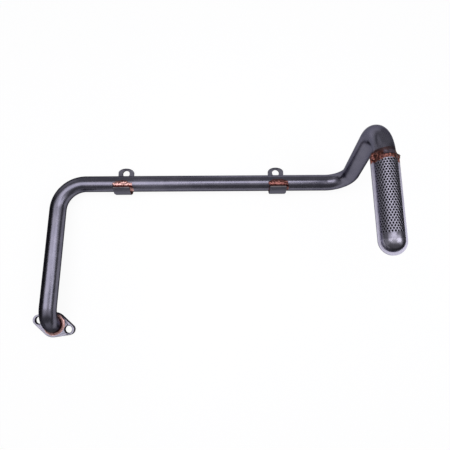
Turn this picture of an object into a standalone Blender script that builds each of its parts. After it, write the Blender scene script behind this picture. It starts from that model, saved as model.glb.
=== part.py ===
"""Engine oil pickup tube: bent suction tube with a two-bolt flange, two strap
brackets and a half-round perforated strainer, lying on its mounting plane.

Lengths in metres, angles in degrees. +X runs along the long straight, +Z is up.
"""
import math

import bmesh
import bpy
from mathutils import Vector, geometry

# fit
GAP = 0.0003                 # clearance between brazed or seated pieces

# tube
TUBE_OD = 0.022
TUBE_WALL = 0.0015
TUBE_SIDES = 24
BEND_STEP = 10.0             # degrees of bend between rings

# course of the tube
RUN_LENGTH = 0.3998          # between the corners of the long straight
LEG_REACH = 0.1926           # flange's bore in front of the long straight
LEG_DRIFT = 0.0040           # flange's bore to the left of the left corner
LEG_END_HEIGHT = 0.0301      # height of the lower corner over the mounting plane
RISER_HEIGHT = 0.1441        # rise of the top corner over the long straight
RISER_BACK = 0.0335          # lean of the riser away from the flange side
RISER_LEFT = 0.006           # lean of the riser to the left
STRAINER_YAW = 2.1           # turn of the strainer's axis from square
TOP_STRAIGHT = 0.0008        # straight length between the top bend and the strainer
BEND_LOW = 0.0232
BEND_LEFT = 0.037
BEND_RIGHT = 0.029
BEND_TOP = 0.031

# flange
FLANGE_T = 0.005
FLANGE_HALF_SPACING = 0.0214
FLANGE_EAR_AT = 0.0228        # centre of each ear's round end
FLANGE_EAR_R = 0.0071
FLANGE_BOSS_R = 0.0167
FLANGE_LEFT = 0.0011         # the plate's middle to the left of its bore
FLANGE_FRONT = 0.0008        # and in front of it
FLANGE_TURN = -17.0          # direction of the bolt line
FLANGE_HOLE_D = 0.010
FLANGE_EDGE = 0.0007         # broken edges

# strap brackets
STRAP_T = 0.0034
STRAP_SLACK = 0.0005         # strap bent a little wider than the tube's seat
STRAP_WIDTH = 0.022
BRACKET_LEFT_IN = 0.0883     # from the left corner of the long straight
BRACKET_RIGHT_IN = 0.0966    # from its right corner
EAR_HOLE_D = 0.010
EAR_HOLE_OUT = 0.0177        # bolt centre from the tube's centre line
EAR_MARGIN = 0.0078          # bolt centre to the ear's crown
EAR_CROWN_R = 0.0175
WRAP_ANGLE = 151.0           # strap's wrap from the underside up the front
WAIST_WIDTH = 0.0208         # where the strap passes the front of the tube
FLAP_WIDTH = 0.0229
FLAP_TIP_WIDTH = 0.0212

# strainer
SHEET_T = 0.0006
PLATE_T = 0.0015
PLATE_MARGIN = 0.0033        # plate beyond the screen on each side
PLATE_LENGTH = 0.103
TUBE_TUCK = 0.006            # tube end beyond the plate's upper edge
SCREEN_START = 0.001         # screen's upper edge past the plate's upper edge
PERF_START = 0.0063          # first row of holes
PERF_LENGTH = 0.073
HOLE_D = 0.0018
HOLE_PITCH = 0.003
HOLE_LAND = 0.0008           # least metal between a hole and the screen's foot
DOME_STEP = 15.0

# braze
FLANGE_BEAD = 0.0031
STRAP_BEAD_ANGLE = 32.0
STRAP_BEAD_OVERHANG = 0.0012
COLLAR_LENGTH = 0.0032
BEAD_EDGE = 0.0004

TUBE_R = TUBE_OD / 2
SEAT_R = TUBE_R + GAP        # inner radius of all that wraps the tube
STRAP_SEAT_R = SEAT_R + STRAP_SLACK
RUN_Z = STRAP_T + STRAP_SEAT_R   # height of the long straight's axis
HEX_SIDES = 6


def material(name, colour, metallic, roughness):
    mat = bpy.data.materials.new(name)
    mat.use_nodes = True
    bsdf = mat.node_tree.nodes["Principled BSDF"]
    bsdf.inputs["Base Color"].default_value = (*colour, 1.0)
    bsdf.inputs["Metallic"].default_value = metallic
    bsdf.inputs["Roughness"].default_value = roughness
    return mat


def add_object(name, bm, colour, metallic=1.0, roughness=0.35, cutter=False):
    bmesh.ops.remove_doubles(bm, verts=bm.verts, dist=1e-6)
    bmesh.ops.triangulate(bm, faces=[f for f in bm.faces if len(f.verts) > 4])
    bmesh.ops.recalc_face_normals(bm, faces=bm.faces)
    mesh = bpy.data.meshes.new(name)
    bm.to_mesh(mesh)
    bm.free()
    for poly in mesh.polygons:
        poly.use_smooth = True
    mesh.set_sharp_from_angle(angle=math.radians(32))
    obj = bpy.data.objects.new(name, mesh)
    bpy.context.scene.collection.objects.link(obj)
    if cutter:
        obj.hide_render = True
        obj.display_type = "WIRE"
    else:
        mesh.materials.append(material(name + "_metal", colour, metallic, roughness))
    return obj


def combine(target, other, operation):
    mod = target.modifiers.new(other.name, "BOOLEAN")
    mod.operation = operation
    mod.solver = "EXACT"
    mod.object = other


def loft(loops, closed=False):
    """Solid through equal loops of points; closed joins the last to the first."""
    bm = bmesh.new()
    rings = [[bm.verts.new(p) for p in loop] for loop in loops]
    count = len(rings[0])
    pairs = list(zip(rings, rings[1:]))
    if closed:
        pairs.append((rings[-1], rings[0]))
    for a, b in pairs:
        for i in range(count):
            j = (i + 1) % count
            bm.faces.new((a[i], a[j], b[j], b[i]))
    if not closed:
        bm.faces.new(rings[0][::-1])
        bm.faces.new(rings[-1])
    return bm


def turned(profile, centre, sides):
    """Solid of revolution about a vertical axis; profile is a closed (radius, z) loop."""
    loops = []
    for k in range(sides):
        a = 2 * math.pi * k / sides
        loops.append([centre + Vector((r * math.cos(a), r * math.sin(a), z)) for r, z in profile])
    return loft(loops, closed=True)


def turned_cutter(profile, centre, sides):
    """Closed plug between the profile's ends on a vertical axis; profile is (radius, z)."""
    return loft([[centre + Vector((r * math.cos(2 * math.pi * k / sides), r * math.sin(2 * math.pi * k / sides), z))
                  for k in range(sides)] for r, z in profile])


def sheet_solid(outline, holes, creases, place):
    """Sheet of metal from a flat pattern.

    outline and holes are loops of (u, v); creases are chains of (u, v) that the
    surface follows; place(u, v, side) gives the point on side 0 or 1 of the sheet.
    """
    points, edges, faces = [], [], []
    for loop in [outline] + holes:
        area = sum(a[0] * b[1] - b[0] * a[1] for a, b in zip(loop, loop[1:] + loop[:1]))
        loop = loop if area > 0 else loop[::-1]
        start = len(points)
        points += [Vector(p) for p in loop]
        faces.append(list(range(start, start + len(loop))))
    for chain in creases:
        start = len(points)
        points += [Vector(p) for p in chain]
        edges += [(start + i, start + i + 1) for i in range(len(chain) - 1)]
    flat, _, cells, _, _, owners = geometry.delaunay_2d_cdt(points, edges, faces, 0, 1e-7)
    kept = [cell for cell, owner in zip(cells, owners) if 0 in owner and len(owner) == 1]
    uses = {}
    for cell in kept:
        for i, a in enumerate(cell):
            b = cell[(i + 1) % len(cell)]
            uses[(a, b)] = uses.get((a, b), 0) + 1
    rim = [(a, b) for a, b in uses if (b, a) not in uses]
    bm = bmesh.new()
    used = sorted({i for cell in kept for i in cell})
    lower = {i: bm.verts.new(place(flat[i][0], flat[i][1], 0)) for i in used}
    upper = {i: bm.verts.new(place(flat[i][0], flat[i][1], 1)) for i in used}
    for cell in kept:
        bm.faces.new([upper[i] for i in cell])
        bm.faces.new([lower[i] for i in reversed(cell)])
    for a, b in rim:
        bm.faces.new((upper[b], upper[a], lower[a], lower[b]))
    bmesh.ops.remove_doubles(bm, verts=bm.verts, dist=1e-6)
    return bm


def bend_path(corners, radii):
    """Centre line through the corners, each inner corner rounded to its radius."""
    path = [corners[0]]
    for before, corner, after, radius in zip(corners, corners[1:], corners[2:], radii):
        back, ahead = before - corner, after - corner
        turn = math.pi - back.angle(ahead)
        room = 0.98 * min(back.length, ahead.length)
        radius = min(radius, room / math.tan(turn / 2))
        reach = radius * math.tan(turn / 2)
        back.normalize()
        ahead.normalize()
        centre = corner + (back + ahead).normalized() * (radius / math.cos(turn / 2))
        spoke = (corner + back * reach - centre).normalized()
        steps = max(2, math.ceil(math.degrees(turn) / BEND_STEP))
        for k in range(steps + 1):
            a = turn * k / steps
            path.append(centre + radius * (spoke * math.cos(a) - back * math.sin(a)))
    path.append(corners[-1])
    return path


def pipe(path, outer, inner, sides):
    """Open-ended pipe along a path, from rings that don't twist."""
    bm = bmesh.new()
    rings = []
    side = None
    for i, point in enumerate(path):
        ahead = (path[min(i + 1, len(path) - 1)] - path[max(i - 1, 0)]).normalized()
        if i == 0:
            ahead = (path[1] - path[0]).normalized()
        if side is None:
            side = ahead.orthogonal().normalized()
        side = (side - ahead * side.dot(ahead)).normalized()
        across = ahead.cross(side)
        ring = []
        for radius in (outer, inner):
            ring.append([bm.verts.new(point + radius * (side * math.cos(a) + across * math.sin(a)))
                         for a in (2 * math.pi * k / sides for k in range(sides))])
        rings.append(ring)
    for a, b in zip(rings, rings[1:]):
        for i in range(sides):
            j = (i + 1) % sides
            bm.faces.new((a[0][i], a[0][j], b[0][j], b[0][i]))
            bm.faces.new((a[1][j], a[1][i], b[1][i], b[1][j]))
    for ring, flip in ((rings[0], False), (rings[-1], True)):
        for i in range(sides):
            j = (i + 1) % sides
            quad = (ring[0][j], ring[0][i], ring[1][i], ring[1][j])
            bm.faces.new(quad[::-1] if flip else quad)
    return bm


def rhombic(half_spacing, ear, boss, steps=9):
    """Corner points of a two-eared plate: boss and ear circles joined by tangents."""
    lean = math.acos(min(0.999, max(-0.999, (boss - ear) / half_spacing)))
    arcs = ((half_spacing, 0.0, ear, -lean, lean), (0.0, 0.0, boss, lean, math.pi - lean),
            (-half_spacing, 0.0, ear, math.pi - lean, math.pi + lean), (0.0, 0.0, boss, math.pi + lean, 2 * math.pi - lean))
    points = []
    for cx, cy, radius, start, end in arcs:
        for k in range(steps):
            a = start + (end - start) * k / (steps - 1)
            points.append((cx + radius * math.cos(a), cy + radius * math.sin(a)))
    return points


for old in list(bpy.data.objects):
    bpy.data.objects.remove(old)

STEEL = (0.17, 0.165, 0.20)
BRIGHT = (0.50, 0.48, 0.56)
COPPER = (0.55, 0.24, 0.17)
DARK_COPPER = (0.33, 0.13, 0.09)

# centre line
yaw = math.radians(STRAINER_YAW)
flange_centre = Vector((-LEG_DRIFT, -LEG_REACH, 0.0))
low_corner = flange_centre + Vector((0, 0, LEG_END_HEIGHT))
left_corner = Vector((0, 0, RUN_Z))
right_corner = Vector((RUN_LENGTH, 0, RUN_Z))
top_corner = right_corner + Vector((-RISER_LEFT, RISER_BACK, RISER_HEIGHT))
axis = Vector((math.sin(yaw), -math.cos(yaw), 0.0))
across = Vector((math.cos(yaw), math.sin(yaw), 0.0))
up = Vector((0, 0, 1))
top_turn = math.pi - (right_corner - top_corner).angle(axis)
mouth = top_corner + axis * (BEND_TOP * math.tan(top_turn / 2) + TOP_STRAIGHT)
tube_end = mouth + axis * TUBE_TUCK

course = bend_path([flange_centre + up * GAP, low_corner, left_corner, right_corner, top_corner, tube_end],
                   [BEND_LOW, BEND_LEFT, BEND_RIGHT, BEND_TOP])
tube = add_object("tube", pipe(course, TUBE_R, TUBE_R - TUBE_WALL, TUBE_SIDES), STEEL)

# flange with its bore and bolt holes
turn = math.radians(FLANGE_TURN)
bolt_line = Vector((math.cos(turn), math.sin(turn), 0))
bolt_cross = Vector((-math.sin(turn), math.cos(turn), 0))
plate_middle = flange_centre + Vector((-FLANGE_LEFT, -FLANGE_FRONT, 0))
levels = ((0.0, FLANGE_EDGE), (FLANGE_EDGE, 0.0), (FLANGE_T - FLANGE_EDGE, 0.0), (FLANGE_T, FLANGE_EDGE))
flange = add_object("flange", loft([[plate_middle + bolt_line * x + bolt_cross * y + up * z
                                     for x, y in rhombic(FLANGE_EAR_AT, FLANGE_EAR_R - inset, FLANGE_BOSS_R - inset)]
                                    for z, inset in levels]), BRIGHT, roughness=0.45)
past = 0.002
bore = [(SEAT_R, -past), (SEAT_R, FLANGE_T + past)]
combine(flange, add_object("flange_bore", turned_cutter(bore, flange_centre, 32), STEEL, cutter=True), "DIFFERENCE")
hole = FLANGE_HOLE_D / 2
bolt = [(hole + FLANGE_EDGE + past, -past), (hole, FLANGE_EDGE), (hole, FLANGE_T - FLANGE_EDGE),
        (hole + FLANGE_EDGE + past, FLANGE_T + past)]
for label, sign in (("left", -1), ("right", 1)):
    place = plate_middle + bolt_line * (sign * FLANGE_HALF_SPACING)
    combine(flange, add_object("flange_bolt_" + label, turned_cutter(bolt, place, 24), STEEL, cutter=True), "DIFFERENCE")

foot = FLANGE_T + GAP
bead = [(SEAT_R, foot), (SEAT_R + FLANGE_BEAD, foot), (SEAT_R + FLANGE_BEAD * 0.62, foot + FLANGE_BEAD * 0.2),
        (SEAT_R + FLANGE_BEAD * 0.24, foot + FLANGE_BEAD * 0.52), (SEAT_R + BEAD_EDGE * 0.5, foot + FLANGE_BEAD)]
braze_flange = add_object("braze_flange", turned(bead, flange_centre, 32), COPPER, roughness=0.4)

# strap brackets: flat ear, then a wrap round the underside and front of the tube
wrap_r = STRAP_SEAT_R + STRAP_T / 2
half = STRAP_WIDTH / 2
crown = EAR_HOLE_OUT + EAR_MARGIN
crown_half_angle = math.asin(min(0.98, half / EAR_CROWN_R))


def wrap_length(degrees):
    return wrap_r * math.radians(degrees)


def strap_pattern():
    right = []
    for k in range(7):
        a = crown_half_angle * k / 6
        right.append((-crown + EAR_CROWN_R * (1 - math.cos(a)), EAR_CROWN_R * math.sin(a)))
    right += [(0.0, half)]
    right += [(wrap_length(WRAP_ANGLE * share), width / 2) for share, width in (
        (0.33, STRAP_WIDTH), (0.56, WAIST_WIDTH), (0.70, FLAP_WIDTH), (0.93, FLAP_WIDTH), (1.0, FLAP_TIP_WIDTH))]
    left = [(u, -v) for u, v in reversed(right) if v > 1e-9]
    return right + left


def strap_place(centre_x):
    def place(u, v, side):
        offset = STRAP_T * (side - 0.5)
        if u <= 0:
            return Vector((centre_x + v, -u, STRAP_T / 2 + offset))
        a = u / wrap_r
        radius = wrap_r - offset
        return Vector((centre_x + v, -radius * math.sin(a), RUN_Z - radius * math.cos(a)))
    return place


def strap_half_width(u):
    pattern = [p for p in strap_pattern() if p[1] >= 0]
    for (u0, v0), (u1, v1) in zip(pattern, pattern[1:]):
        if u0 <= u <= u1 and u1 > u0:
            return v0 + (v1 - v0) * (u - u0) / (u1 - u0)
    return half


bolt_ring = [(-EAR_HOLE_OUT + EAR_HOLE_D / 2 * math.cos(math.radians(k * 15)), EAR_HOLE_D / 2 * math.sin(math.radians(k * 15)))
             for k in range(24)]
bend_lines = 12
creases = []
for k in range(bend_lines):
    u = wrap_length(WRAP_ANGLE) * k / bend_lines
    creases.append([(u, -strap_half_width(u)), (u, strap_half_width(u))])
brackets = []
for label, x in (("left", BRACKET_LEFT_IN), ("right", RUN_LENGTH - BRACKET_RIGHT_IN)):
    brackets.append(add_object("bracket_" + label, sheet_solid(strap_pattern(), [bolt_ring], creases, strap_place(x)),
                               STEEL, roughness=0.4))
    loops = []
    reach = FLAP_TIP_WIDTH / 2 + STRAP_BEAD_OVERHANG
    for at, rise in ((-1.0, 0.35), (-0.82, 0.85), (-0.3, 1.0), (0.35, 0.9), (0.86, 0.95), (1.0, 0.35)):
        inner, outer = [], []
        start = math.radians(WRAP_ANGLE) + GAP / SEAT_R
        for k in range(6):
            share = k / 5
            a = start + math.radians(STRAP_BEAD_ANGLE) * share * (0.7 + 0.3 * rise)
            thick = BEAD_EDGE + (STRAP_T - BEAD_EDGE) * (1 - share) ** 1.6 * rise * 0.8
            for chain, r in ((inner, SEAT_R), (outer, SEAT_R + thick)):
                chain.append(Vector((x + at * reach, -r * math.sin(a), RUN_Z - r * math.cos(a))))
        loops.append(inner + outer[::-1])
    add_object("braze_" + label, loft(loops), COPPER if label == "left" else DARK_COPPER, roughness=0.4)

# strainer: perforated half-round shell with a domed end, on a flat back plate
screen_r = SEAT_R + SHEET_T
plate_half = screen_r + PLATE_MARGIN
dome_at = PLATE_LENGTH - plate_half
mid_r = SEAT_R + SHEET_T / 2
dome_length = mid_r * math.pi / 2


def screen_place(u, v, side):
    radius = SEAT_R + SHEET_T * side
    a = u / mid_r
    if v <= dome_at:
        reach, ring = v, radius
    else:
        lat = min((v - dome_at) / mid_r, math.pi / 2)
        reach, ring = dome_at + radius * math.sin(lat), radius * math.cos(lat)
    if ring < 1e-7:
        ring = 0.0
    return mouth + axis * reach + across * (ring * math.cos(a)) + up * (ring * math.sin(a))


half_round = math.pi * mid_r
row_pitch = HOLE_PITCH * math.sqrt(3) / 2
rows = int(PERF_LENGTH / row_pitch) + 1
most = int((half_round - 2 * HOLE_LAND - HOLE_D) / HOLE_PITCH) + 1
holes = []
for row in range(rows):
    count = most - row % 2
    v = PERF_START + row * row_pitch
    if v + HOLE_D > dome_at:
        break
    for k in range(count):
        u = half_round / 2 + (k - (count - 1) / 2) * HOLE_PITCH
        holes.append([(u + HOLE_D / 2 * math.cos(math.radians(60 * s + 30)), v + HOLE_D / 2 * math.sin(math.radians(60 * s + 30)))
                      for s in range(HEX_SIDES)])
arcs = 18
steps = max(3, int(90 / DOME_STEP))
stops = [half_round * k / arcs for k in range(arcs + 1)]
along = [SCREEN_START + (dome_at - SCREEN_START) * k / 16 for k in range(17)]
far = dome_at + dome_length
dome_stops = [dome_at + dome_length * k / steps for k in range(1, steps)]
outline = [(u, SCREEN_START) for u in stops]
outline += [(half_round, v) for v in along[1:] + dome_stops]
outline += [(u, far) for u in reversed(stops)]
outline += [(0.0, v) for v in reversed(along[1:] + dome_stops)]
screen_lines = [[(u, v) for u in stops] for v in [dome_at] + dome_stops]
screen = add_object("strainer_screen", sheet_solid(outline, holes, screen_lines, screen_place), BRIGHT, roughness=0.4)

notch_half = SEAT_R
notch = TUBE_TUCK + GAP
plate_outline = [(notch_half, 0.0), (plate_half, 0.0)]
for k in range(25):
    a = math.pi * k / 24
    plate_outline.append((plate_half * math.cos(a), dome_at + plate_half * math.sin(a)))
plate_outline += [(-plate_half, 0.0), (-notch_half, 0.0), (-notch_half, notch), (notch_half, notch)]
plate_under = -GAP - PLATE_T
plate = add_object("strainer_plate", sheet_solid(
    plate_outline, [], [], lambda u, v, side: mouth + across * u + axis * v + up * (plate_under + PLATE_T * side)),
    BRIGHT, roughness=0.45)
lip = []
for at in (notch + 0.00005, notch + PLATE_T):
    sweep = [(TUBE_R * math.cos(math.pi * k / 16), -TUBE_R * math.sin(math.pi * k / 16)) for k in range(1, 16)]
    shoulder = plate_under + PLATE_T / 2
    loop = [(TUBE_R * 0.98, shoulder)] + [(x, min(z, shoulder - 0.0003)) for x, z in sweep] + [(-TUBE_R * 0.98, shoulder)]
    lip.append([mouth + across * x + axis * at + up * z for x, z in loop])
combine(plate, add_object("plate_lip", loft(lip), BRIGHT, cutter=True), "UNION")

# braze collar where the screen's upper edge meets the tube
loops = []
collar_end = SCREEN_START - GAP
for k in range(17):
    a = math.radians(5 + 170 * k / 16)
    ray = across * math.cos(a) + up * math.sin(a)
    wave = 1 + 0.12 * math.sin(k * 2.1)
    section = ((collar_end, SEAT_R), (collar_end, SEAT_R + SHEET_T * 1.25 * wave),
               (collar_end - COLLAR_LENGTH * 0.45, SEAT_R + SHEET_T * 1.0), (collar_end - COLLAR_LENGTH * wave, SEAT_R + BEAD_EDGE),
               (collar_end - COLLAR_LENGTH * wave, SEAT_R))
    loops.append([mouth + axis * s + ray * r for s, r in section])
add_object("braze_strainer", loft(loops), DARK_COPPER, roughness=0.45)

# stand the part on its mounting plane, centred on its own outline
solids = [o for o in bpy.data.objects if not o.hide_render]
xs = [v.co.x for o in solids for v in o.data.vertices]
ys = [v.co.y for o in solids for v in o.data.vertices]
shift = Vector((-(min(xs) + max(xs)) / 2, -(min(ys) + max(ys)) / 2, 0.0))
for obj in bpy.data.objects:
    obj.location = shift
bpy.context.view_layer.update()
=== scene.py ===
import math

import bmesh
import bpy
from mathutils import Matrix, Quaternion, Vector, geometry, noise


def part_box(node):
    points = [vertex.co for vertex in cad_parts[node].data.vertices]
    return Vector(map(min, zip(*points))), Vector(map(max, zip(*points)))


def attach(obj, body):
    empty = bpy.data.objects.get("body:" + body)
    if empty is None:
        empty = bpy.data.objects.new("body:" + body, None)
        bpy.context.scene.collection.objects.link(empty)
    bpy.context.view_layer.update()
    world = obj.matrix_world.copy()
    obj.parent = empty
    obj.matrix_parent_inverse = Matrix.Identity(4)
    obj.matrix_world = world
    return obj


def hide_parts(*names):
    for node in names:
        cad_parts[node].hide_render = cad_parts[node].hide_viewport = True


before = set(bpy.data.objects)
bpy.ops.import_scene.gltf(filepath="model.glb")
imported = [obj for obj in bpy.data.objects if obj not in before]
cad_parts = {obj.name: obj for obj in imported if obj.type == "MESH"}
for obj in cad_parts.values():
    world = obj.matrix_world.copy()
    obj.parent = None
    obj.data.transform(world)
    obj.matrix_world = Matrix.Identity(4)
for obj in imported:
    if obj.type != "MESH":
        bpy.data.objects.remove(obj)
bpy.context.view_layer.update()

# The oil pickup tube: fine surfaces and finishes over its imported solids, in a plain studio.
# Lengths are in metres, in the part's own frame: +X along the long straight, +Y towards the
# bolt ears, +Z up from the mounting plane.

UP = Vector((0, 0, 1))
SLIT = 0.0003                  # slit that the solids keep between pieces that touch

# tube
TUBE_R = 0.011
WALL = 0.0015
SEAT_R = TUBE_R + SLIT         # bore of everything that fits round the tube
TUBE_SIDES = 72
BEND_STEP = 3.0                # degrees of a bend between two rings
RUN_STEP = 0.02                # length of a straight between two rings
BENDS = (0.0232, 0.037, 0.029, 0.031)
LEG_END_Z = 0.0301
RUN_Z = 0.0152
plate_low, plate_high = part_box("flange")
PLATE_MIDDLE = Vector(((plate_low[0] + plate_high[0]) / 2, (plate_low[1] + plate_high[1]) / 2, 0))
FLANGE_CENTRE = PLATE_MIDDLE + Vector((0.0011, 0.0008, 0))  # middle of its bore
SET_DOWN = FLANGE_CENTRE + Vector((0.0040, 0.1926, 0))      # below the left corner of the centre line
RUN_Y = SET_DOWN.y
LOW_CORNER = FLANGE_CENTRE + UP * LEG_END_Z
LEFT_CORNER = SET_DOWN + UP * RUN_Z
RIGHT_CORNER = LEFT_CORNER + Vector((0.3998, 0, 0))
TOP_CORNER = RIGHT_CORNER + Vector((-0.006, 0.0335, 0.1441))

# strainer
YAW = math.radians(2.1)
AXIS = Vector((math.sin(YAW), -math.cos(YAW), 0))
ACROSS = Vector((math.cos(YAW), math.sin(YAW), 0))
TOP_TURN = math.pi - (RIGHT_CORNER - TOP_CORNER).angle(AXIS)
MOUTH = TOP_CORNER + AXIS * (BENDS[3] * math.tan(TOP_TURN / 2) + 0.0008)
TUBE_TUCK = 0.006              # how far the tube goes into the strainer
SHEET_T = 0.0006
SHEET_MIDDLE_R = SEAT_R + SHEET_T / 2
HALF_ROUND = math.pi * SHEET_MIDDLE_R
PLATE_T = 0.0015
PLATE_BASE = -SLIT - PLATE_T   # underside of the back plate, below the strainer's axis
SCREEN_R = SEAT_R + SHEET_T
PLATE_HALF = SCREEN_R + 0.0033
PLATE_LENGTH = 0.103
DOME_AT = PLATE_LENGTH - PLATE_HALF
SCREEN_START = 0.001
FIRST_ROW = 0.0063
ROWS = 29
MOST_HOLES = 12
HOLE_R = 0.0009
HOLE_PITCH = 0.003
HOLE_SIDES = 14
RIM_WIDTH = 0.0003
RIM_SINK = 0.00014             # how far punching draws a hole's edge inwards
COLLAR_CREASES = (0.0036, 0.0058)

# flange
PLATE_TURN = math.radians(-17)
BOLT_LINE = Vector((math.cos(PLATE_TURN), math.sin(PLATE_TURN), 0))
BOLT_CROSS = Vector((-BOLT_LINE.y, BOLT_LINE.x, 0))
HALF_SPACING = 0.0214
EAR_AT = 0.0228
EAR_R = 0.0071
BOSS_R = 0.0167
FLANK = math.acos((BOSS_R - EAR_R) / EAR_AT)  # lie of the straight edges between ear and boss
FLANGE_T = 0.005
BOLT_HOLE_R = 0.005

# straps
STRAP_X = {"left": LEFT_CORNER.x + 0.0883, "right": RIGHT_CORNER.x - 0.0966}
STRAP_T = 0.0034
STRAP_SEAT = SEAT_R + 0.0005
STRAP_HALF = 0.011
EAR_HOLE_AT = 0.0177
CROWN = EAR_HOLE_AT + 0.0078
CROWN_RISE = 0.0062
WRAP = math.radians(151)
WRAP_R = STRAP_SEAT + STRAP_T / 2
WRAP_LENGTH = WRAP_R * WRAP
WAIST_HALF = 0.0104
FLAP_HALF = 0.01145
TIP_HALF = 0.0106


def ripple(x, y, z=0.0):
    return noise.noise(Vector((x, y, z)))


def ease(low, high, x):
    """Eased from 0 at low to 1 at high; with low over high it falls instead."""
    t = min(1.0, max(0.0, (x - low) / (high - low)))
    return t * t * (3 - 2 * t)


class Level:
    """A shader value. Python arithmetic on it adds Math nodes."""

    def __init__(self, finish, socket):
        self.finish, self.socket = finish, socket

    def __add__(self, other):
        return self.finish.math("ADD", self, other)

    def __sub__(self, other):
        return self.finish.math("SUBTRACT", self, other)

    def __rsub__(self, other):
        return self.finish.math("SUBTRACT", other, self)

    def __mul__(self, other):
        return self.finish.math("MULTIPLY", self, other)

    __radd__ = __add__
    __rmul__ = __mul__


class Finish:
    """The nodes of one material or of the world."""

    def __init__(self, owner):
        owner.use_nodes = True
        self.owner, self.tree = owner, owner.node_tree
        self.tree.nodes.clear()

    def node(self, kind, settings=None, sockets=None, out=0):
        made = self.tree.nodes.new(kind)
        for name, value in (settings or {}).items():
            setattr(made, name, value)
        for key, value in (sockets or {}).items():
            if isinstance(value, Level):
                self.tree.links.new(value.socket, made.inputs[key])
            elif isinstance(value, tuple) and made.inputs[key].type == "RGBA":
                made.inputs[key].default_value = (*value, 1)
            else:
                made.inputs[key].default_value = value
        return Level(self, made.outputs[out]) if made.outputs else made

    def math(self, operation, first, second=0.0):
        return self.node("ShaderNodeMath", {"operation": operation}, {0: first, 1: second})

    def either(self, first, second):
        """The stronger of two masks."""
        return self.math("MAXIMUM", first, second)

    def distance(self, first, *others):
        """Length of the vector with these legs."""
        total = first * first
        for leg in others:
            total = total + leg * leg
        return self.math("SQRT", total)

    def place(self):
        """Coordinates in metres, in the part's frame."""
        return self.node("ShaderNodeTexCoord", out="Object")

    def wrap(self):
        """Metres along and around a piece, from its own map."""
        return self.node("ShaderNodeTexCoord", out="UV")

    def facing(self, axis):
        """How far the surface faces along the frame's axis 0, 1 or 2."""
        return self.split(self.node("ShaderNodeNewGeometry", out="Normal"))[axis]

    def ray(self, kind):
        """1 for rays of the given kind, and 0 for others."""
        return self.node("ShaderNodeLightPath", out=kind)

    def split(self, vector):
        outs = self.node("ShaderNodeSeparateXYZ", None, {0: vector}).socket.node.outputs
        return [Level(self, outs[k]) for k in range(3)]

    def vector_math(self, operation, first, second, out=0):
        return self.node("ShaderNodeVectorMath", {"operation": operation},
                         {0: first, 1: second}, out)

    def along(self, vector, origin, direction):
        """Metres from the origin along a direction."""
        gone = self.vector_math("SUBTRACT", vector, tuple(origin))
        return self.vector_math("DOT_PRODUCT", gone, tuple(direction), out="Value")

    def cloud(self, vector, scale, detail=3.0, rough=0.55):
        """Noise with scale features to the metre, round 0.5."""
        return self.node("ShaderNodeTexNoise", None, {"Vector": vector, "Scale": scale,
                                                      "Detail": detail, "Roughness": rough})

    def step(self, value, low, high):
        """Eased from 0 at low to 1 at high; with low over high it falls instead."""
        if low > high:
            return 1 - self.step(value, high, low)
        return self.node("ShaderNodeMapRange", {"interpolation_type": "SMOOTHSTEP"},
                         {"Value": value, "From Min": low, "From Max": high})

    def span(self, value, low, high, soft):
        """1 between low and high, falling to 0 over soft at both ends."""
        return self.step(value, low - soft, low) * self.step(value, high + soft, high)

    def mix(self, share, first, second):
        return self.node("ShaderNodeMix", {"data_type": "RGBA"}, {0: share, 6: first, 7: second},
                         out=2)

    def bump(self, height, strength, distance):
        return self.node("ShaderNodeBump", None,
                         {"Height": height, "Strength": strength, "Distance": distance})

    def stained(self, stains, at, clouds, specks, colour, rough):
        """Lays stains over a colour and a roughness, in their order.

        A stain is (mask maker, colour, roughness change).
        """
        for mask_of, tone, change in stains:
            mask = mask_of(self, at, clouds, specks)
            colour = self.mix(mask, colour, tone)
            rough = rough + change * mask
        return colour, rough

    def metal(self, colour, roughness, normal, edge=(1.0, 1.0, 1.0)):
        """Closes a material: a Principled metal with the given tint at its edges."""
        shader = self.node("ShaderNodeBsdfPrincipled", None,
                           {"Base Color": colour, "Roughness": roughness, "Normal": normal,
                            "Metallic": 1.0, "Specular Tint": edge})
        self.node("ShaderNodeOutputMaterial", None, {"Surface": shader})
        return self.owner


def new_finish(name):
    return Finish(bpy.data.materials.new(name))


def steel(name, dark, light, roughness, grain=1.0, edge=(0.6, 0.6, 0.65), stains=()):
    """Satin steel: clouds of tint, fine grain and drawing lines along the map's first axis."""
    grime = (0.05, 0.045, 0.07)
    f = new_finish(name)
    at, wrap = f.place(), f.wrap()
    clouds = f.cloud(at, scale=60, detail=4)
    specks = f.cloud(at, scale=1500, rough=0.7)
    lines = f.cloud(f.vector_math("MULTIPLY", wrap, (14, 1100, 1)), scale=1.0, detail=4, rough=0.65)
    colour = f.mix(f.step(clouds, 0.35, 0.65), dark, light)
    shade = f.step(specks * 0.6 + lines * 0.4, 0.3, 0.7)
    colour = f.mix(0.22 * grain * (1 - shade), colour, grime)
    rough = roughness + 0.10 * (clouds - 0.5) + 0.12 * grain * (lines - 0.5) + 0.08 * (specks - 0.5)
    colour, rough = f.stained(stains, at, clouds, specks, colour, rough)
    height = lines * 0.5 + specks * 0.5
    return f.metal(colour, rough, f.bump(height, 0.12 * grain, 0.0002), edge)


def copper(name, light, dark, share, roughness=0.34, stains=()):
    """Braze metal: copper with browned hollows and black flux specks; share is how much is dark."""
    flux = (0.05, 0.018, 0.014)
    f = new_finish(name)
    at = f.place()
    clouds = f.cloud(at, scale=420, detail=4, rough=0.6)
    specks = f.cloud(at, scale=1600, detail=2, rough=0.6)
    colour = f.mix(f.step(clouds, share - 0.12, share + 0.14), dark, light)
    colour = f.mix(f.step(specks, 0.56, 0.74) * 0.75, colour, flux)
    rough = roughness + 0.30 * (clouds - 0.5) + 0.15 * (specks - 0.5)
    colour, rough = f.stained(stains, at, clouds, specks, colour, rough)
    return f.metal(colour, rough, f.bump(clouds * 0.7 + specks * 0.3, 0.55, 0.0006))


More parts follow.
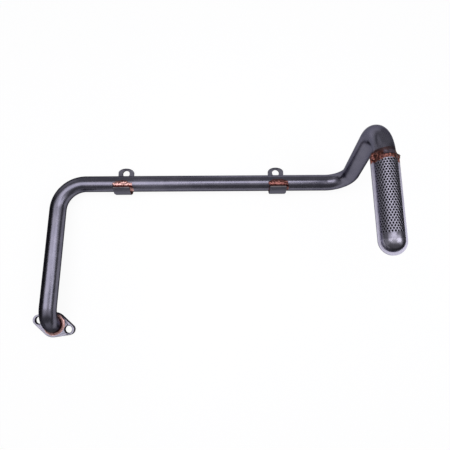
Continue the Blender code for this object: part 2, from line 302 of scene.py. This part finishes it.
def strap_haze(side):
    """Dark red tint on the tube round a strap's fillet."""
    x0 = STRAP_X[side]

    def mask_of(f, at, clouds, specks):
        x, y, z = f.split(at)
        near = (f.span(x, x0 - 0.012, x0 + 0.0135, 0.0015)
                * f.span(y, RUN_Y - 0.011, RUN_Y - 0.001, 0.002))
        blotches = f.step(clouds * 0.5 + specks * 0.5, 0.44, 0.60)
        return near * f.step(z, 0.014, 0.018) * blotches * 0.6
    return mask_of


def mouth_stain(f, at, clouds, specks):
    """Brown heat stain on the tube behind the strainer's collar, higher on its right."""
    reach = f.along(at, MOUTH, AXIS) + 0.12 * f.along(at, MOUTH, ACROSS)
    behind = f.step(f.split(at)[2], MOUTH.z - 0.014, MOUTH.z - 0.010)
    blotches = f.step(clouds * 0.6 + specks * 0.4, 0.36, 0.52)
    return behind * f.span(reach, -0.0062, -0.0030, 0.0012) * blotches * 0.92


def foot_painted_shade(f, at, clouds, specks):
    """Painted shade, dark red-brown, on the tube's foot inside the copper ring."""
    return f.step(f.split(at)[2], 0.0155, 0.0105) * f.step(clouds, 0.25, 0.5) * 0.9


def foot_painted_sheen(f, at, clouds, specks):
    """Painted sheen: paler steel on the front of the tube's foot."""
    x, y, z = f.split(at)
    front = f.step(y, FLANGE_CENTRE.y - 0.004, FLANGE_CENTRE.y - 0.009) * f.step(z, 0.010, 0.016)
    return front * f.step(x, FLANGE_CENTRE.x - 0.008, FLANGE_CENTRE.x - 0.001) * 0.9


def ring_painted_shade(f, at, clouds, specks):
    """Painted shade: dark red on the steep upper part of the flange's fillet ring, next to the tube.
    """
    return f.step(f.split(at)[2], FLANGE_T + 0.0012, FLANGE_T + 0.0026)


def on_plate(f, at):
    """Metres from the middle of the flange plate, along and across its bolt line."""
    return f.along(at, PLATE_MIDDLE, BOLT_LINE), f.along(at, PLATE_MIDDLE, BOLT_CROSS)


def bolt_rim_painted_shade(f, at, clouds, specks):
    """Painted shade in the flange's bolt holes and on their edges."""
    u, v = on_plate(f, at)
    away = f.distance(f.math("ABSOLUTE", u) - HALF_SPACING, v)
    return f.step(away, BOLT_HOLE_R + 0.0012, BOLT_HOLE_R + 0.0005) * 0.9


def wall_painted_shade(f, at, clouds, specks):
    """Painted shade, near black, on the flange's upper and right edges."""
    u, v = on_plate(f, at)
    flank = f.step(math.cos(FLANK) * u + math.sin(FLANK) * v, BOSS_R - 0.0008, BOSS_R - 0.0003)
    tip = f.step(f.distance(u - EAR_AT, v), EAR_R - 0.0011, EAR_R - 0.0005)
    tip = tip * f.step(u - 0.3 * v, EAR_AT - 0.001, EAR_AT + 0.002)
    wall = f.step(f.facing(2), 0.97, 0.85) * f.step(v + 0.25 * u, -0.002, 0.004)
    return f.either(wall, f.either(flank, tip)) * 0.9


def ear_edge_painted_shade(f, at, clouds, specks):
    """Painted shade, near black, on the edges of an ear."""
    y = f.split(at)[1]
    crown = f.step(y, RUN_Y + CROWN - 0.0026, RUN_Y + CROWN - 0.0012)
    edges = f.either(f.step(f.facing(2), 0.995, 0.90), crown)
    return edges * f.step(y, RUN_Y + 0.003, RUN_Y + 0.006) * 0.85


def strap_end_painted_highlight(f, at, clouds, specks):
    """Painted highlight: pale metal along the edge of a strap's end."""
    y, z = f.split(at)[1:]
    short = (y - RUN_Y) * -math.cos(WRAP) + (z - RUN_Z) * math.sin(WRAP)
    at_end = f.step(short + 0.0006 * (clouds - 0.5), -0.0015, -0.0009)
    at_end = at_end * f.step(y, RUN_Y - 0.0035, RUN_Y - 0.0050)
    return at_end * f.step(clouds, 0.35, 0.5) * 0.9


def flap_painted_sheen(f, at, clouds, specks):
    """Painted sheen: paler steel on the straps' wrapped fronts."""
    return f.step(f.split(at)[1], RUN_Y - 0.006, RUN_Y - 0.010)


def strap_drip(f, at, clouds, specks):
    """Red-brown braze run down the straps' right flanks."""
    y = f.split(at)[1]
    ragged = f.facing(0) + 0.5 * (clouds - 0.5)
    return f.step(ragged, 0.35, 0.65) * f.step(y, RUN_Y + 0.001, RUN_Y - 0.003) * 0.9


def beside_flap_painted_shade(f, at, clouds, specks):
    """Painted shade in the hollow of a strap's fillet next to the flap."""
    ragged = f.split(at)[1] + 0.0016 * (clouds - 0.5)
    return f.span(ragged, RUN_Y - 0.0070, RUN_Y - 0.0046, 0.0006)


def fillet_fringe(f, at, clouds, specks):
    """The thin browned far edge of a strap's fillet."""
    ragged = f.split(at)[1] + 0.0020 * (clouds - 0.5)
    return f.step(ragged, RUN_Y, RUN_Y + 0.0012) * 0.8


def collar_haze(f, at, clouds, specks):
    """Braze specks on the upper edge of screen and back plate, farther down at the sides."""
    reach, side = f.along(at, MOUTH, AXIS), f.along(at, MOUTH, ACROSS)
    ragged = reach - 0.004 * (specks - 0.5) - 26.0 * side * side
    return f.step(ragged, 0.0030, 0.0018) * 0.95


def bare_back(f, at, clouds, specks):
    """Grey oxide over the collar's rear, in its middle."""
    ragged = f.along(at, MOUTH, AXIS) + 0.0016 * (clouds - 0.5)
    side = f.along(at, MOUTH, ACROSS) - 0.0005
    return f.step(ragged, 0.0011, 0.0003) * f.step(side * side, 0.000045, 0.000022) * 0.95


def burnt_back(f, at, clouds, specks):
    """Dark brown over the rest of the collar's rear."""
    ragged = f.along(at, MOUTH, AXIS) + 0.0014 * (clouds - 0.5)
    return f.step(ragged, -0.0010, -0.0020) * 0.85


def punched(f, at, clouds, specks):
    """Duller steel over the length of the screen that has the holes."""
    ragged = f.along(at, MOUTH, AXIS) + 0.001 * (clouds - 0.5)
    return f.step(ragged, DOME_AT - 0.0005, DOME_AT - 0.0020) * 0.9


def chamber_painted_shade(f, at, clouds, specks):
    """Painted shade inside the strainer: near black on all that is closer to its axis than mid-sheet.
    """
    side, rise, reach = (f.along(at, MOUTH, way) for way in (ACROSS, UP, AXIS))
    past = f.step(reach, DOME_AT, DOME_AT + 0.0001) * (reach - DOME_AT)
    return f.step(f.distance(side, rise, past), SEAT_R + 0.00035, SEAT_R + 0.00015)


tube_steel = steel("tube_steel", (0.165, 0.160, 0.208), (0.200, 0.192, 0.245), 0.27,
                   grain=0.5, edge=(0.42, 0.42, 0.46), stains=[
                       (strap_haze("left"), (0.16, 0.045, 0.035), 0.05),
                       (strap_haze("right"), (0.13, 0.040, 0.030), 0.05),
                       (mouth_stain, (0.060, 0.026, 0.022), 0.12),
                       # painted sheen on the front of the tube's foot
                       (foot_painted_sheen, (0.34, 0.345, 0.36), 0.12),
                       # painted shade low on the tube's foot, just above the copper ring
                       (foot_painted_shade, (0.05, 0.018, 0.016), 0.1)])
strap_steel = steel("strap_steel", (0.110, 0.107, 0.132), (0.141, 0.137, 0.168), 0.48, stains=[
    # painted shade on the ears' edges
    (ear_edge_painted_shade, (0.045, 0.043, 0.060), 0.1),
    # painted sheen on the straps' wrapped fronts
    (flap_painted_sheen, (0.185, 0.180, 0.225), 0.0),
    # painted highlight along the straps' end edges
    (strap_end_painted_highlight, (0.55, 0.50, 0.53), -0.1),
    (strap_drip, (0.36, 0.130, 0.100), 0.05)])
bright_steel = steel("bright_steel", (0.40, 0.385, 0.475), (0.47, 0.45, 0.555), 0.36,
                     grain=0.6, stains=[
                         # painted shade in the bolt holes and on their edges
                         (bolt_rim_painted_shade, (0.035, 0.032, 0.045), 0.1),
                         # painted shade on the flange's upper and right edges and side walls
                         (wall_painted_shade, (0.030, 0.028, 0.040), 0.1)])
plate_steel = steel("plate_steel", (0.30, 0.29, 0.36), (0.36, 0.345, 0.42), 0.40,
                    grain=0.6, stains=[
                        (collar_haze, (0.20, 0.060, 0.040), 0.1),
                        # painted shade, near black, inside the strainer
                        (chamber_painted_shade, (0.015, 0.014, 0.018), 0.25)])
screen_steel = steel("screen_steel", (0.275, 0.265, 0.323), (0.340, 0.328, 0.394), 0.26,
                     grain=0.5, stains=[
                         (punched, (0.180, 0.173, 0.214), 0.0),
                         (collar_haze, (0.20, 0.060, 0.040), 0.1),
                         # painted shade, near black, inside the strainer
                         (chamber_painted_shade, (0.012, 0.011, 0.015), 0.3)])
bright_copper = copper("bright_copper", (0.76, 0.45, 0.42), (0.30, 0.095, 0.082), 0.42,
                       roughness=0.30, stains=[
                           # painted shade in the fillet's hollow beside the flap
                           (beside_flap_painted_shade, (0.055, 0.011, 0.009), 0.1),
                           (fillet_fringe, (0.085, 0.030, 0.030), 0.1)])
ring_copper = copper("ring_copper", (0.69, 0.42, 0.40), (0.34, 0.15, 0.13), 0.40, stains=[
    # painted shade on the ring's upper part, next to the tube
    (ring_painted_shade, (0.085, 0.022, 0.018), 0.1)])
dark_copper = copper("dark_copper", (0.37, 0.155, 0.138), (0.115, 0.040, 0.037), 0.49, stains=[
    # painted shade in the fillet's hollow beside the flap
    (beside_flap_painted_shade, (0.030, 0.008, 0.007), 0.1),
    (fillet_fringe, (0.110, 0.050, 0.050), 0.1)])
collar_copper = copper("collar_copper", (0.56, 0.225, 0.180), (0.090, 0.036, 0.034), 0.57, stains=[
    (burnt_back, (0.100, 0.036, 0.031), 0.1),
    (bare_back, (0.150, 0.120, 0.155), 0.05)])


def piece(name, form, finish, node, edge=0.0, rounds=2):
    """Finished piece that stands for a CAD node, its faces turned outwards.

    The form is (points, faces, maps), where maps holds (u, v) in metres for each face corner.
    An edge is the width of its bevels, in the given number of rounds.
    """
    points, faces, maps = form
    mesh = bpy.data.meshes.new(name)
    mesh.from_pydata([tuple(p) for p in points], [], faces)
    layer = mesh.uv_layers.new(name="wrap")
    layer.data.foreach_set("uv", [c for corners in maps for uv in corners for c in uv])
    mesh.shade_smooth()
    mesh.materials.append(finish)
    made = bpy.data.objects.new(name, mesh)
    bpy.context.scene.collection.objects.link(made)
    if edge:
        bevel = made.modifiers.new("edge", "BEVEL")
        bevel.width, bevel.segments = edge, rounds
        bevel.limit_method, bevel.angle_limit = "ANGLE", math.radians(35)
        bevel.harden_normals = True
    else:
        mesh.set_sharp_from_angle(angle=math.radians(38))
    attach(made, "root")
    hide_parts(node)
    outward = bmesh.new()
    outward.from_mesh(mesh)
    bmesh.ops.recalc_face_normals(outward, faces=outward.faces)
    outward.to_mesh(mesh)
    outward.free()


def centre_line(corners, radii):
    """Points along the corners, each inner corner rounded to its radius."""
    path = [corners[0]]

    def straight_to(end):
        start = path[-1]
        count = max(1, round((end - start).length / RUN_STEP))
        path.extend(start.lerp(end, k / count) for k in range(1, count + 1))

    for before, corner, after, radius in zip(corners, corners[1:], corners[2:], radii):
        back, ahead = before - corner, after - corner
        turn = math.pi - back.angle(ahead)
        reach = radius * math.tan(turn / 2)
        back.normalize()
        ahead.normalize()
        middle = corner + (back + ahead).normalized() * (radius / math.cos(turn / 2))
        spoke = (corner + back * reach - middle).normalized()
        straight_to(corner + back * reach)
        steps = math.ceil(math.degrees(turn) / BEND_STEP)
        for k in range(1, steps + 1):
            a = turn * k / steps
            path.append(middle + radius * (spoke * math.cos(a) - back * math.sin(a)))
    straight_to(corners[-1])
    return path


def pipe(path, outer, inner, sides):
    """Open-ended pipe from rings that don't twist, with its map in metres."""
    points, faces, maps = [], [], []
    side, gone = None, 0.0
    lengths = []
    last = len(path) - 1
    for i, point in enumerate(path):
        ahead = (path[min(i + 1, last)] - path[max(i - 1, 0)]).normalized()
        side = side or ahead.orthogonal().normalized()
        side = (side - ahead * side.dot(ahead)).normalized()
        cross = ahead.cross(side)
        gone += (point - path[i - 1]).length if i else 0.0
        lengths.append(gone)
        for radius in (outer, inner):
            points += [point + radius * (side * math.cos(a) + cross * math.sin(a))
                       for a in (2 * math.pi * k / sides for k in range(sides))]

    def at(ring, skin, k):
        return (ring * 2 + skin) * sides + k % sides

    around = 2 * math.pi * outer / sides
    for i in range(last):
        u0, u1 = lengths[i], lengths[i + 1]
        for k in range(sides):
            v0, v1 = k * around, (k + 1) * around
            faces.append((at(i, 0, k), at(i, 0, k + 1), at(i + 1, 0, k + 1), at(i + 1, 0, k)))
            maps.append(((u0, v0), (u0, v1), (u1, v1), (u1, v0)))
            faces.append((at(i, 1, k + 1), at(i, 1, k), at(i + 1, 1, k), at(i + 1, 1, k + 1)))
            maps.append(((u0, v1), (u0, v0), (u1, v0), (u1, v1)))
    for ring, turned in ((0, False), (last, True)):
        for k in range(sides):
            v0, v1 = k * around, (k + 1) * around
            rim = [(at(ring, 0, k + 1), (0.0, v1)), (at(ring, 0, k), (0.0, v0)),
                   (at(ring, 1, k), (WALL, v0)), (at(ring, 1, k + 1), (WALL, v1))]
            rim = rim[::-1] if turned else rim
            faces.append(tuple(corner for corner, _ in rim))
            maps.append(tuple(uv for _, uv in rim))
    return points, faces, maps


def sheet(outline, holes, creases, place):
    """Sheet metal from a flat pattern in (u, v); place(u, v, side) puts a point on side 0 or 1."""
    points, edges, loops = [], [], []
    for loop in [outline] + holes:
        area = sum(a[0] * b[1] - b[0] * a[1] for a, b in zip(loop, loop[1:] + loop[:1]))
        loop = loop if area > 0 else loop[::-1]
        loops.append(list(range(len(points), len(points) + len(loop))))
        points += [Vector(p) for p in loop]
    for chain in creases:
        edges += [(len(points) + i, len(points) + i + 1) for i in range(len(chain) - 1)]
        points += [Vector(p) for p in chain]
    merged = 1e-7                               # points closer than this become one
    flat, _, cells, _, _, owners = geometry.delaunay_2d_cdt(points, edges, loops, 0, merged)
    kept = [cell for cell, owner in zip(cells, owners) if 0 in owner and len(owner) == 1]
    used = sorted({i for cell in kept for i in cell})
    index = {i: k for k, i in enumerate(used)}
    top = len(used)
    skin = [place(*flat[i], side) for side in (0, 1) for i in used]
    sides = {(cell[k], cell[(k + 1) % len(cell)]) for cell in kept for k in range(len(cell))}
    faces = [tuple(top + index[i] for i in cell) for cell in kept]
    maps = [tuple(tuple(flat[i]) for i in cell) for cell in kept]
    faces += [tuple(index[i] for i in reversed(cell)) for cell in kept]
    maps += [tuple(tuple(flat[i]) for i in reversed(cell)) for cell in kept]
    for a, b in sides:
        if (b, a) not in sides:
            faces.append((top + index[b], top + index[a], index[a], index[b]))
            maps.append((tuple(flat[b]), tuple(flat[a]), tuple(flat[a]), tuple(flat[b])))
    return skin, faces, maps


def crust(across, along, place, closed=False):
    """Closed lump over a grid; place(s, t, level) is its root at level 0, its skin at level 1."""
    cell_size = 0.0005
    columns = across if closed else across + 1
    points = [place(i / across, j / along, level) for level in (0, 1) for i in range(columns)
              for j in range(along + 1)]
    faces, maps = [], []

    def at(level, i, j):
        return (level * columns + i % columns) * (along + 1) + j

    def add(corners, flip):
        corners = corners[::-1] if flip else corners
        faces.append(tuple(at(*c) for c in corners))
        maps.append(tuple((i * cell_size, j * cell_size) for _, i, j in corners))

    for i in range(across):
        for j in range(along):
            cell = [(i, j), (i + 1, j), (i + 1, j + 1), (i, j + 1)]
            add([(1, *c) for c in cell], False)
            add([(0, *c) for c in cell], True)
        for j, flip in ((0, False), (along, True)):
            add([(1, i, j), (1, i + 1, j), (0, i + 1, j), (0, i, j)], flip)
    if not closed:
        for i, flip in ((0, True), (across, False)):
            for j in range(along):
                add([(1, i, j), (1, i, j + 1), (0, i, j + 1), (0, i, j)], flip)
    return points, faces, maps


def arc(cu, cv, radius, start, end, steps):
    """Flat points along an arc, both ends with it."""
    turns = [start + (end - start) * k / steps for k in range(steps + 1)]
    return [(cu + radius * math.cos(a), cv + radius * math.sin(a)) for a in turns]


def circle(cu, cv, radius, count):
    return arc(cu, cv, radius, 0, 2 * math.pi, count)[:-1]


# tube
corners = [FLANGE_CENTRE + UP * SLIT, LOW_CORNER, LEFT_CORNER, RIGHT_CORNER, TOP_CORNER,
           MOUTH + AXIS * TUBE_TUCK]
piece("suction_tube", pipe(centre_line(corners, BENDS), TUBE_R, TUBE_R - WALL, TUBE_SIDES),
      tube_steel, "tube", edge=0.0003)


# flange and its fillet ring
def flange_place(u, v, side):
    return PLATE_MIDDLE + BOLT_LINE * u + BOLT_CROSS * v + UP * (FLANGE_T * side)


outline = []
for middle, radius, start, end in ((EAR_AT, EAR_R, -FLANK, FLANK),
                                   (0, BOSS_R, FLANK, math.pi - FLANK),
                                   (-EAR_AT, EAR_R, math.pi - FLANK, math.pi + FLANK),
                                   (0, BOSS_R, math.pi + FLANK, 2 * math.pi - FLANK)):
    outline += arc(middle, 0, radius, start, end, 28)
bore = FLANGE_CENTRE - PLATE_MIDDLE
holes = [circle(bore.dot(BOLT_LINE), bore.dot(BOLT_CROSS), SEAT_R, 96),
         circle(HALF_SPACING, 0, BOLT_HOLE_R, 48), circle(-HALF_SPACING, 0, BOLT_HOLE_R, 48)]
piece("port_flange", sheet(outline, holes, [], flange_place), bright_steel, "flange",
      edge=0.0006, rounds=3)


def ring_place(s, t, level):
    """Concave ring between plate and tube, with a foot that is widest on one side."""
    narrow, widening, widest = 0.0032, 0.0012, math.radians(215)
    height, sway, grit, proud, buried = 0.0032, 0.0006, 0.00012, 0.00012, 0.0006
    a = 2 * math.pi * s
    cos, sin = math.cos(a), math.sin(a)
    wave = ripple(3 * cos, 3 * sin) + 0.5 * ripple(9 * cos, 9 * sin, 4)
    foot = narrow + sway * wave + widening * max(0.0, math.cos(a - widest))
    rise = height + sway * ripple(4 * cos, 4 * sin, 9)
    turn = math.pi / 2 * t
    skin = proud if level else -buried
    r = TUBE_R + foot * (1 - math.sin(turn)) + skin
    z = FLANGE_T + rise * (1 - math.cos(turn)) + skin
    grain = grit * ripple(r * 900 * cos, r * 900 * sin, z * 900) * level
    return FLANGE_CENTRE + Vector(((r + grain) * cos, (r + grain) * sin, z + grain))


piece("flange_fillet", crust(160, 12, ring_place, closed=True), ring_copper, "braze_flange")


# straps and their fillets
def strap_half(u):
    """Half width of the strap at u metres past the ear's root: waist, flap and rounded tip."""
    narrowing, waist, widening, flap, tip = 0.33, 0.56, 0.57, 0.70, 0.92  # shares of the wrap
    share = u / WRAP_LENGTH
    if share < waist:
        return STRAP_HALF + (WAIST_HALF - STRAP_HALF) * ease(narrowing, waist, share)
    if share < tip:
        return WAIST_HALF + (FLAP_HALF - WAIST_HALF) * ease(widening, flap, share)
    t = min(1.0, (share - tip) / (1 - tip))
    return TIP_HALF + (FLAP_HALF - TIP_HALF) * math.sqrt(max(0.0, 1 - t * t))


def strap(x0):
    """Flat ear that runs on in a wrap under the tube, round x0 on the long straight."""
    def place(u, v, face):
        if u <= 0:
            return Vector((x0 + v, RUN_Y - u, STRAP_T * face))
        a = u / WRAP_R
        radius = STRAP_SEAT + STRAP_T * (1 - face)
        return Vector((x0 + v, RUN_Y - radius * math.sin(a), RUN_Z - radius * math.cos(a)))

    quarter = [math.pi / 2 * k / 16 for k in range(17)]
    bends = [WRAP_LENGTH * k / 48 for k in range(49)]
    right = [(-CROWN + CROWN_RISE * (1 - math.cos(a)), STRAP_HALF * math.sin(a)) for a in quarter]
    right += [(u, strap_half(u)) for u in bends]
    outline = right + [(u, -v) for u, v in reversed(right) if v > 1e-9]
    inset = 1e-5
    creases = [[(u, inset - strap_half(u)), (u, strap_half(u) - inset)] for u in bends[:-1]]
    return sheet(outline, [circle(-EAR_HOLE_AT, 0, BOLT_HOLE_R, 48)], creases, place)


def strap_fillet(x0, top_width, left_width, right_width):
    """Braze between a strap's flap and the tube, with its widths past the flap's edges.

    It has a crest at the flap and thins to a film, and its far edge sinks into the tube.
    """
    length, first, sweep = 0.034, 96, 102       # along the tube, and degrees round it
    crest, film, lumps, sink, buried = 0.0019, 0.0002, 0.00022, 0.0007, 0.0009
    top_sway, flank_sway, least = 0.0012, 0.0006, 0.0006
    top_loss, loss_at = 0.0034, 0.0100          # the top width loses this, that far to a side

    def place(s, t, level):
        x = (s - 0.5) * length
        a = math.radians(first + sweep * t)
        r = TUBE_R + (height_at(x, a) if level else -buried)
        return Vector((x0 + x, RUN_Y - r * math.sin(a), RUN_Z - r * math.cos(a)))

    def height_at(x, a):
        wave = (ripple(x * 420 + x0 * 40, a * 4.5)
                + 0.5 * ripple(x * 1100, a * 12, 3 + x0 * 50))
        above = (a - WRAP) * SEAT_R
        beside = abs(x) - strap_half(min(a, WRAP) * WRAP_R)
        up, out = max(0.0, above), max(0.0, beside)
        gap = math.hypot(up, out)
        top = top_width + top_sway * wave - top_loss * min(1.0, abs(x) / loss_at) ** 3
        flank = (right_width if x > 0 else left_width) + flank_sway * wave
        share = up * up / max(1e-12, up * up + out * out)
        width = top * share + flank * (1 - share) if gap else top
        away = gap / max(least, width)
        height = crest * max(0.0, 1 - away) ** 1.5 + film * ease(1.25, 0.8, away)
        height *= ease(math.radians(100), math.radians(122), a) if above < 0 else 1.0
        height += lumps * wave * ease(1.1, 0.5, away)
        return height - sink * ease(0.85, 1.12, away)

    return crust(110, 70, place)


for side, finish, top_width, left_width in (("left", bright_copper, 0.0090, 0.0014),
                                            ("right", dark_copper, 0.0104, 0.0008)):
    x0 = STRAP_X[side]
    piece(side + "_strap", strap(x0), strap_steel, "bracket_" + side,
          edge=0.0010, rounds=4)
    piece(side + "_fillet", strap_fillet(x0, top_width, left_width, 0.0040), finish,
          "braze_" + side)

# strainer screen
holes, rims, sunk = [], [], set()
for row in range(ROWS):
    count = MOST_HOLES - row % 2
    v = FIRST_ROW + row * HOLE_PITCH * math.sqrt(3) / 2
    for k in range(count):
        u = HALF_ROUND / 2 + (k - (count - 1) / 2) * HOLE_PITCH
        holes.append(circle(u, v, HOLE_R, HOLE_SIDES))
        sunk.update((round(p[0], 6), round(p[1], 6)) for p in holes[-1])
        rim = circle(u, v, HOLE_R + RIM_WIDTH, HOLE_SIDES)
        rims.append(rim + rim[:1])


def screen_place(u, v, face):
    """Half-round trough that ends in a quarter sphere past DOME_AT."""
    radius = SEAT_R + SHEET_T * face
    if face and (round(u, 6), round(v, 6)) in sunk:
        radius -= RIM_SINK
    a = u / SHEET_MIDDLE_R
    reach, ring = v, radius
    if v > DOME_AT:
        lat = min((v - DOME_AT) / SHEET_MIDDLE_R, math.pi / 2)
        reach, ring = DOME_AT + radius * math.sin(lat), radius * math.cos(lat)
    ring = max(ring, 1e-6)
    return MOUTH + AXIS * reach + ACROSS * (ring * math.cos(a)) + UP * (ring * math.sin(a))


around = [HALF_ROUND * k / 60 for k in range(61)]
dome = [DOME_AT + SHEET_MIDDLE_R * math.pi / 2 * k / 18 for k in range(19)]
down = [SCREEN_START + (DOME_AT - SCREEN_START) * k / 40 for k in range(40)] + dome
outline = [(u, SCREEN_START) for u in around] + [(HALF_ROUND, v) for v in down[1:]]
outline += [(u, dome[-1]) for u in reversed(around[:-1])]
outline += [(0.0, v) for v in reversed(down[1:-1])]
creases = rims + [[(u, v) for u in around] for v in (*dome[:-1], *COLLAR_CREASES)]
piece("strainer_shell", sheet(outline, holes, creases, screen_place), screen_steel,
      "strainer_screen")

# strainer back plate with the lip that closes the tube's lower half
NOTCH_END = TUBE_TUCK + SLIT
LIP_OFF = 0.00005              # keeps the lip's rear face off the end of the notch
LIP_TUCK = 0.0002              # how far the lip's top goes into the plate


def plate_place(u, v, face):
    return MOUTH + ACROSS * u + AXIS * v + UP * (PLATE_BASE + PLATE_T * face)


def lip_place(u, v, face):
    return (MOUTH + ACROSS * u + UP * v
            + AXIS * (NOTCH_END + LIP_OFF + (PLATE_T - LIP_OFF) * face))


outline = [(SEAT_R, 0.0), (PLATE_HALF, 0.0)] + arc(0, DOME_AT, PLATE_HALF, 0, math.pi, 60)
outline += [(-PLATE_HALF, 0.0), (-SEAT_R, 0.0), (-SEAT_R, NOTCH_END), (SEAT_R, NOTCH_END)]
piece("strainer_back", sheet(outline, [], [], plate_place), plate_steel, "strainer_plate",
      edge=0.0004, rounds=3)
outline = [(u, min(v, PLATE_BASE + LIP_TUCK)) for u, v in arc(0, 0, TUBE_R, 0, -math.pi, 32)]
piece("strainer_lip", sheet(outline, [], [], lip_place), plate_steel, "strainer_plate",
      edge=0.0003)


def collar_place(s, t, level):
    """Braze round the screen's upper edge, with a lump in each corner of the back plate.

    Behind the edge it falls from a crest to the tube, and in front a film lies on the screen.
    """
    behind, overlap, buried = 0.0050, 0.0006, 0.0006
    middle_front, side_front = 0.0048, 0.0030   # reach along the screen, and more at its sides
    crest, film, lumps, sink = 0.00125, 0.00022, 0.00016, 0.0006
    right_start, left_start, corner_end = -0.0016, -0.0042, 0.0056
    corner_height, corner_sway = 0.0030, 0.0002
    a = math.radians(0.5 + 179 * s)
    front = middle_front + side_front * abs(math.cos(a)) ** 3
    reach = -behind + (front + behind + overlap) * t
    ray = ACROSS * math.cos(a) + UP * math.sin(a)
    base = TUBE_R + (SCREEN_R - TUBE_R) * ease(SCREEN_START - 0.0004, SCREEN_START, reach)
    if not level:
        return MOUTH + AXIS * reach + ray * (base - buried)
    wave = ripple(a * 6, reach * 500) + 0.5 * ripple(a * 17, reach * 1300, 5)
    if reach < SCREEN_START:
        away = (SCREEN_START - reach) / (0.0046 + 0.0008 * wave)
        height = crest * max(0.0, 1 - away) ** 1.3 - sink * ease(0.9, 1.1, away)
    else:
        away = (reach - SCREEN_START) / (front - SCREEN_START + 0.0005 * wave)
        height = film - sink * ease(0.85, 1.15, away)
    height += lumps * wave * ease(1.0, 0.6, away)
    start = right_start if a < math.pi / 2 else left_start
    corner = (ease(0.20, 0.07, min(a, math.pi - a)) * ease(start, start + 0.0012, reach)
              * ease(corner_end, corner_end - 0.0020, reach))
    height += (corner_height + corner_sway * wave) * corner
    return MOUTH + AXIS * reach + ray * (base + height)


piece("strainer_fillet", crust(150, 34, collar_place), collar_copper, "braze_strainer")


# studio
CEILING_Z = 0.60
LILAC_WHITE = (0.985, 0.975, 1.0)


def lamp(name, place, target, width, height, radiance, colour, spin=0.0):
    """Rectangular lamp that the camera doesn't see; spin turns it about the vertical."""
    data = bpy.data.lights.new(name, "AREA")
    data.shape, data.size, data.size_y = "RECTANGLE", width, height
    data.energy = radiance * math.pi * width * height
    data.color = colour
    made = bpy.data.objects.new(name, data)
    made.location = place
    aim = (Vector(target) - Vector(place)).to_track_quat("-Z", "Y")
    made.rotation_euler = (Quaternion((0, 0, 1), math.radians(spin)) @ aim).to_euler()
    made.visible_camera = False
    bpy.context.scene.collection.objects.link(made)


def ceiling_lamp(name, x, y, width, height, radiance, colour, spin=0.0):
    lamp(name, (x, y, CEILING_Z), (x, y, 0), width, height, radiance, colour, spin)


ceiling_lamp("overhead_softbox", -0.35, 0.045, 0.54, 0.37, 1.62, LILAC_WHITE, spin=-5)
ceiling_lamp("overhead_strip", 0.11, 0.123, 0.38, 0.18, 2.8, LILAC_WHITE)
ceiling_lamp("right_softbox", 0.56, -0.04, 0.50, 0.30, 2.0, (0.985, 0.98, 1.0))
lamp("left_card", (-0.10, 0.0, 0.23), (0.50, 0.0, 0.23), 0.50, 0.30, 0.35, LILAC_WHITE)
lamp("front_card", (-0.17, -0.42, 0.08), (-0.17, 0.0, 0.03), 0.34, 0.15, 0.34, (0.98, 0.98, 1.0))

# floor: white to the camera, dark paper to the lamps, and in patches to the metal that mirrors it
FLOOR_Z = -0.0002
FLOOR_HALF = 30
floor_mesh = bpy.data.meshes.new("studio_floor")
floor_corners = [(x * FLOOR_HALF, y * FLOOR_HALF, FLOOR_Z)
                 for x, y in ((-1, -1), (1, -1), (1, 1), (-1, 1))]
floor_mesh.from_pydata(floor_corners, [], [(0, 1, 2, 3)])
floor = bpy.data.objects.new("studio_floor", floor_mesh)
bpy.context.scene.collection.objects.link(floor)
f = new_finish("floor_paper")
x, y, _ = f.split(f.place())
seen, mirrored, through = (f.ray(kind) for kind in ("Is Camera Ray", "Is Glossy Ray",
                                                    "Is Transmission Ray"))
inside = f.span(x, -0.155, 0.36, 0.023) * f.step(y, -0.20, -0.16) * f.step(y, 0.075, 0.050)
behind = f.step(y, 0.08, 0.12) * f.step(x, -0.22, -0.12)
back_left = f.step(y, 0.18, 0.25) * f.span(x, -0.60, 0.0, 0.2)
far = f.step(y, 0.08, 0.11) * f.span(x, 0.05, 0.34, 0.08)
front_left = f.step(y, -0.12, -0.20) * f.span(x, -0.42, -0.06, 0.10)
patches = 0.7 * inside + 0.3 * behind + 0.45 * far + 0.3 * back_left + 0.16 * front_left
shader = f.node("ShaderNodeBsdfPrincipled", None, {
    "Base Color": (0.10, 0.10, 0.105), "Roughness": 0.9, "Specular IOR Level": 0.0,
    "Emission Color": 0.92 * (seen + through) + patches * mirrored, "Emission Strength": 1.0})
f.node("ShaderNodeOutputMaterial", None, {"Surface": shader})
floor_mesh.materials.append(f.owner)

# room: white to the camera, and a pale ceiling with dimmer walls to everything else
world = bpy.data.worlds.new("studio")
bpy.context.scene.world = world
w = Finish(world)
dx, dy, dz = w.split(w.node("ShaderNodeTexCoord", out="Generated"))
ceiling = w.span(dy, -0.42, 0.28, 0.2) * w.step(dx, -0.80, -0.50) * w.step(dz, 0.05, 0.25)
ceiling = ceiling * (1 - 0.25 * w.span(dx, 0.1, 0.5, 0.1)) * (1 - 0.7 * w.step(dx, 0.78, 0.92))
back_wall = w.step(dy, 0.40, 0.65) * w.step(dz, -0.02, 0.02) * (1 + 0.8 * w.step(dx, -0.40, -0.55))
front_wall = w.step(dy, -0.40, -0.65) * w.step(dz, 0.0, 0.1)
room = 0.01 + 0.80 * ceiling + 0.28 * back_wall + 0.16 * front_wall
seen = w.ray("Is Camera Ray")
shader = w.node("ShaderNodeBackground", None, {"Color": seen + (1 - seen) * room, "Strength": 1.0})
w.node("ShaderNodeOutputWorld", None, {"Surface": shader})

# camera, from the fit to the photo
camera_data = bpy.data.cameras.new("camera")
camera_data.lens, camera_data.sensor_width = 31.064, 36
camera_data.clip_start, camera_data.clip_end = 0.01, 200
camera = bpy.data.objects.new("camera", camera_data)
camera.location = SET_DOWN + Vector((0.229058, -0.127298, 0.54804))
camera.rotation_euler = [math.radians(v) for v in (7.314, -0.040, -0.3948)]
bpy.context.scene.collection.objects.link(camera)
bpy.context.scene.camera = camera
bpy.context.scene.view_settings.view_transform = "Standard"
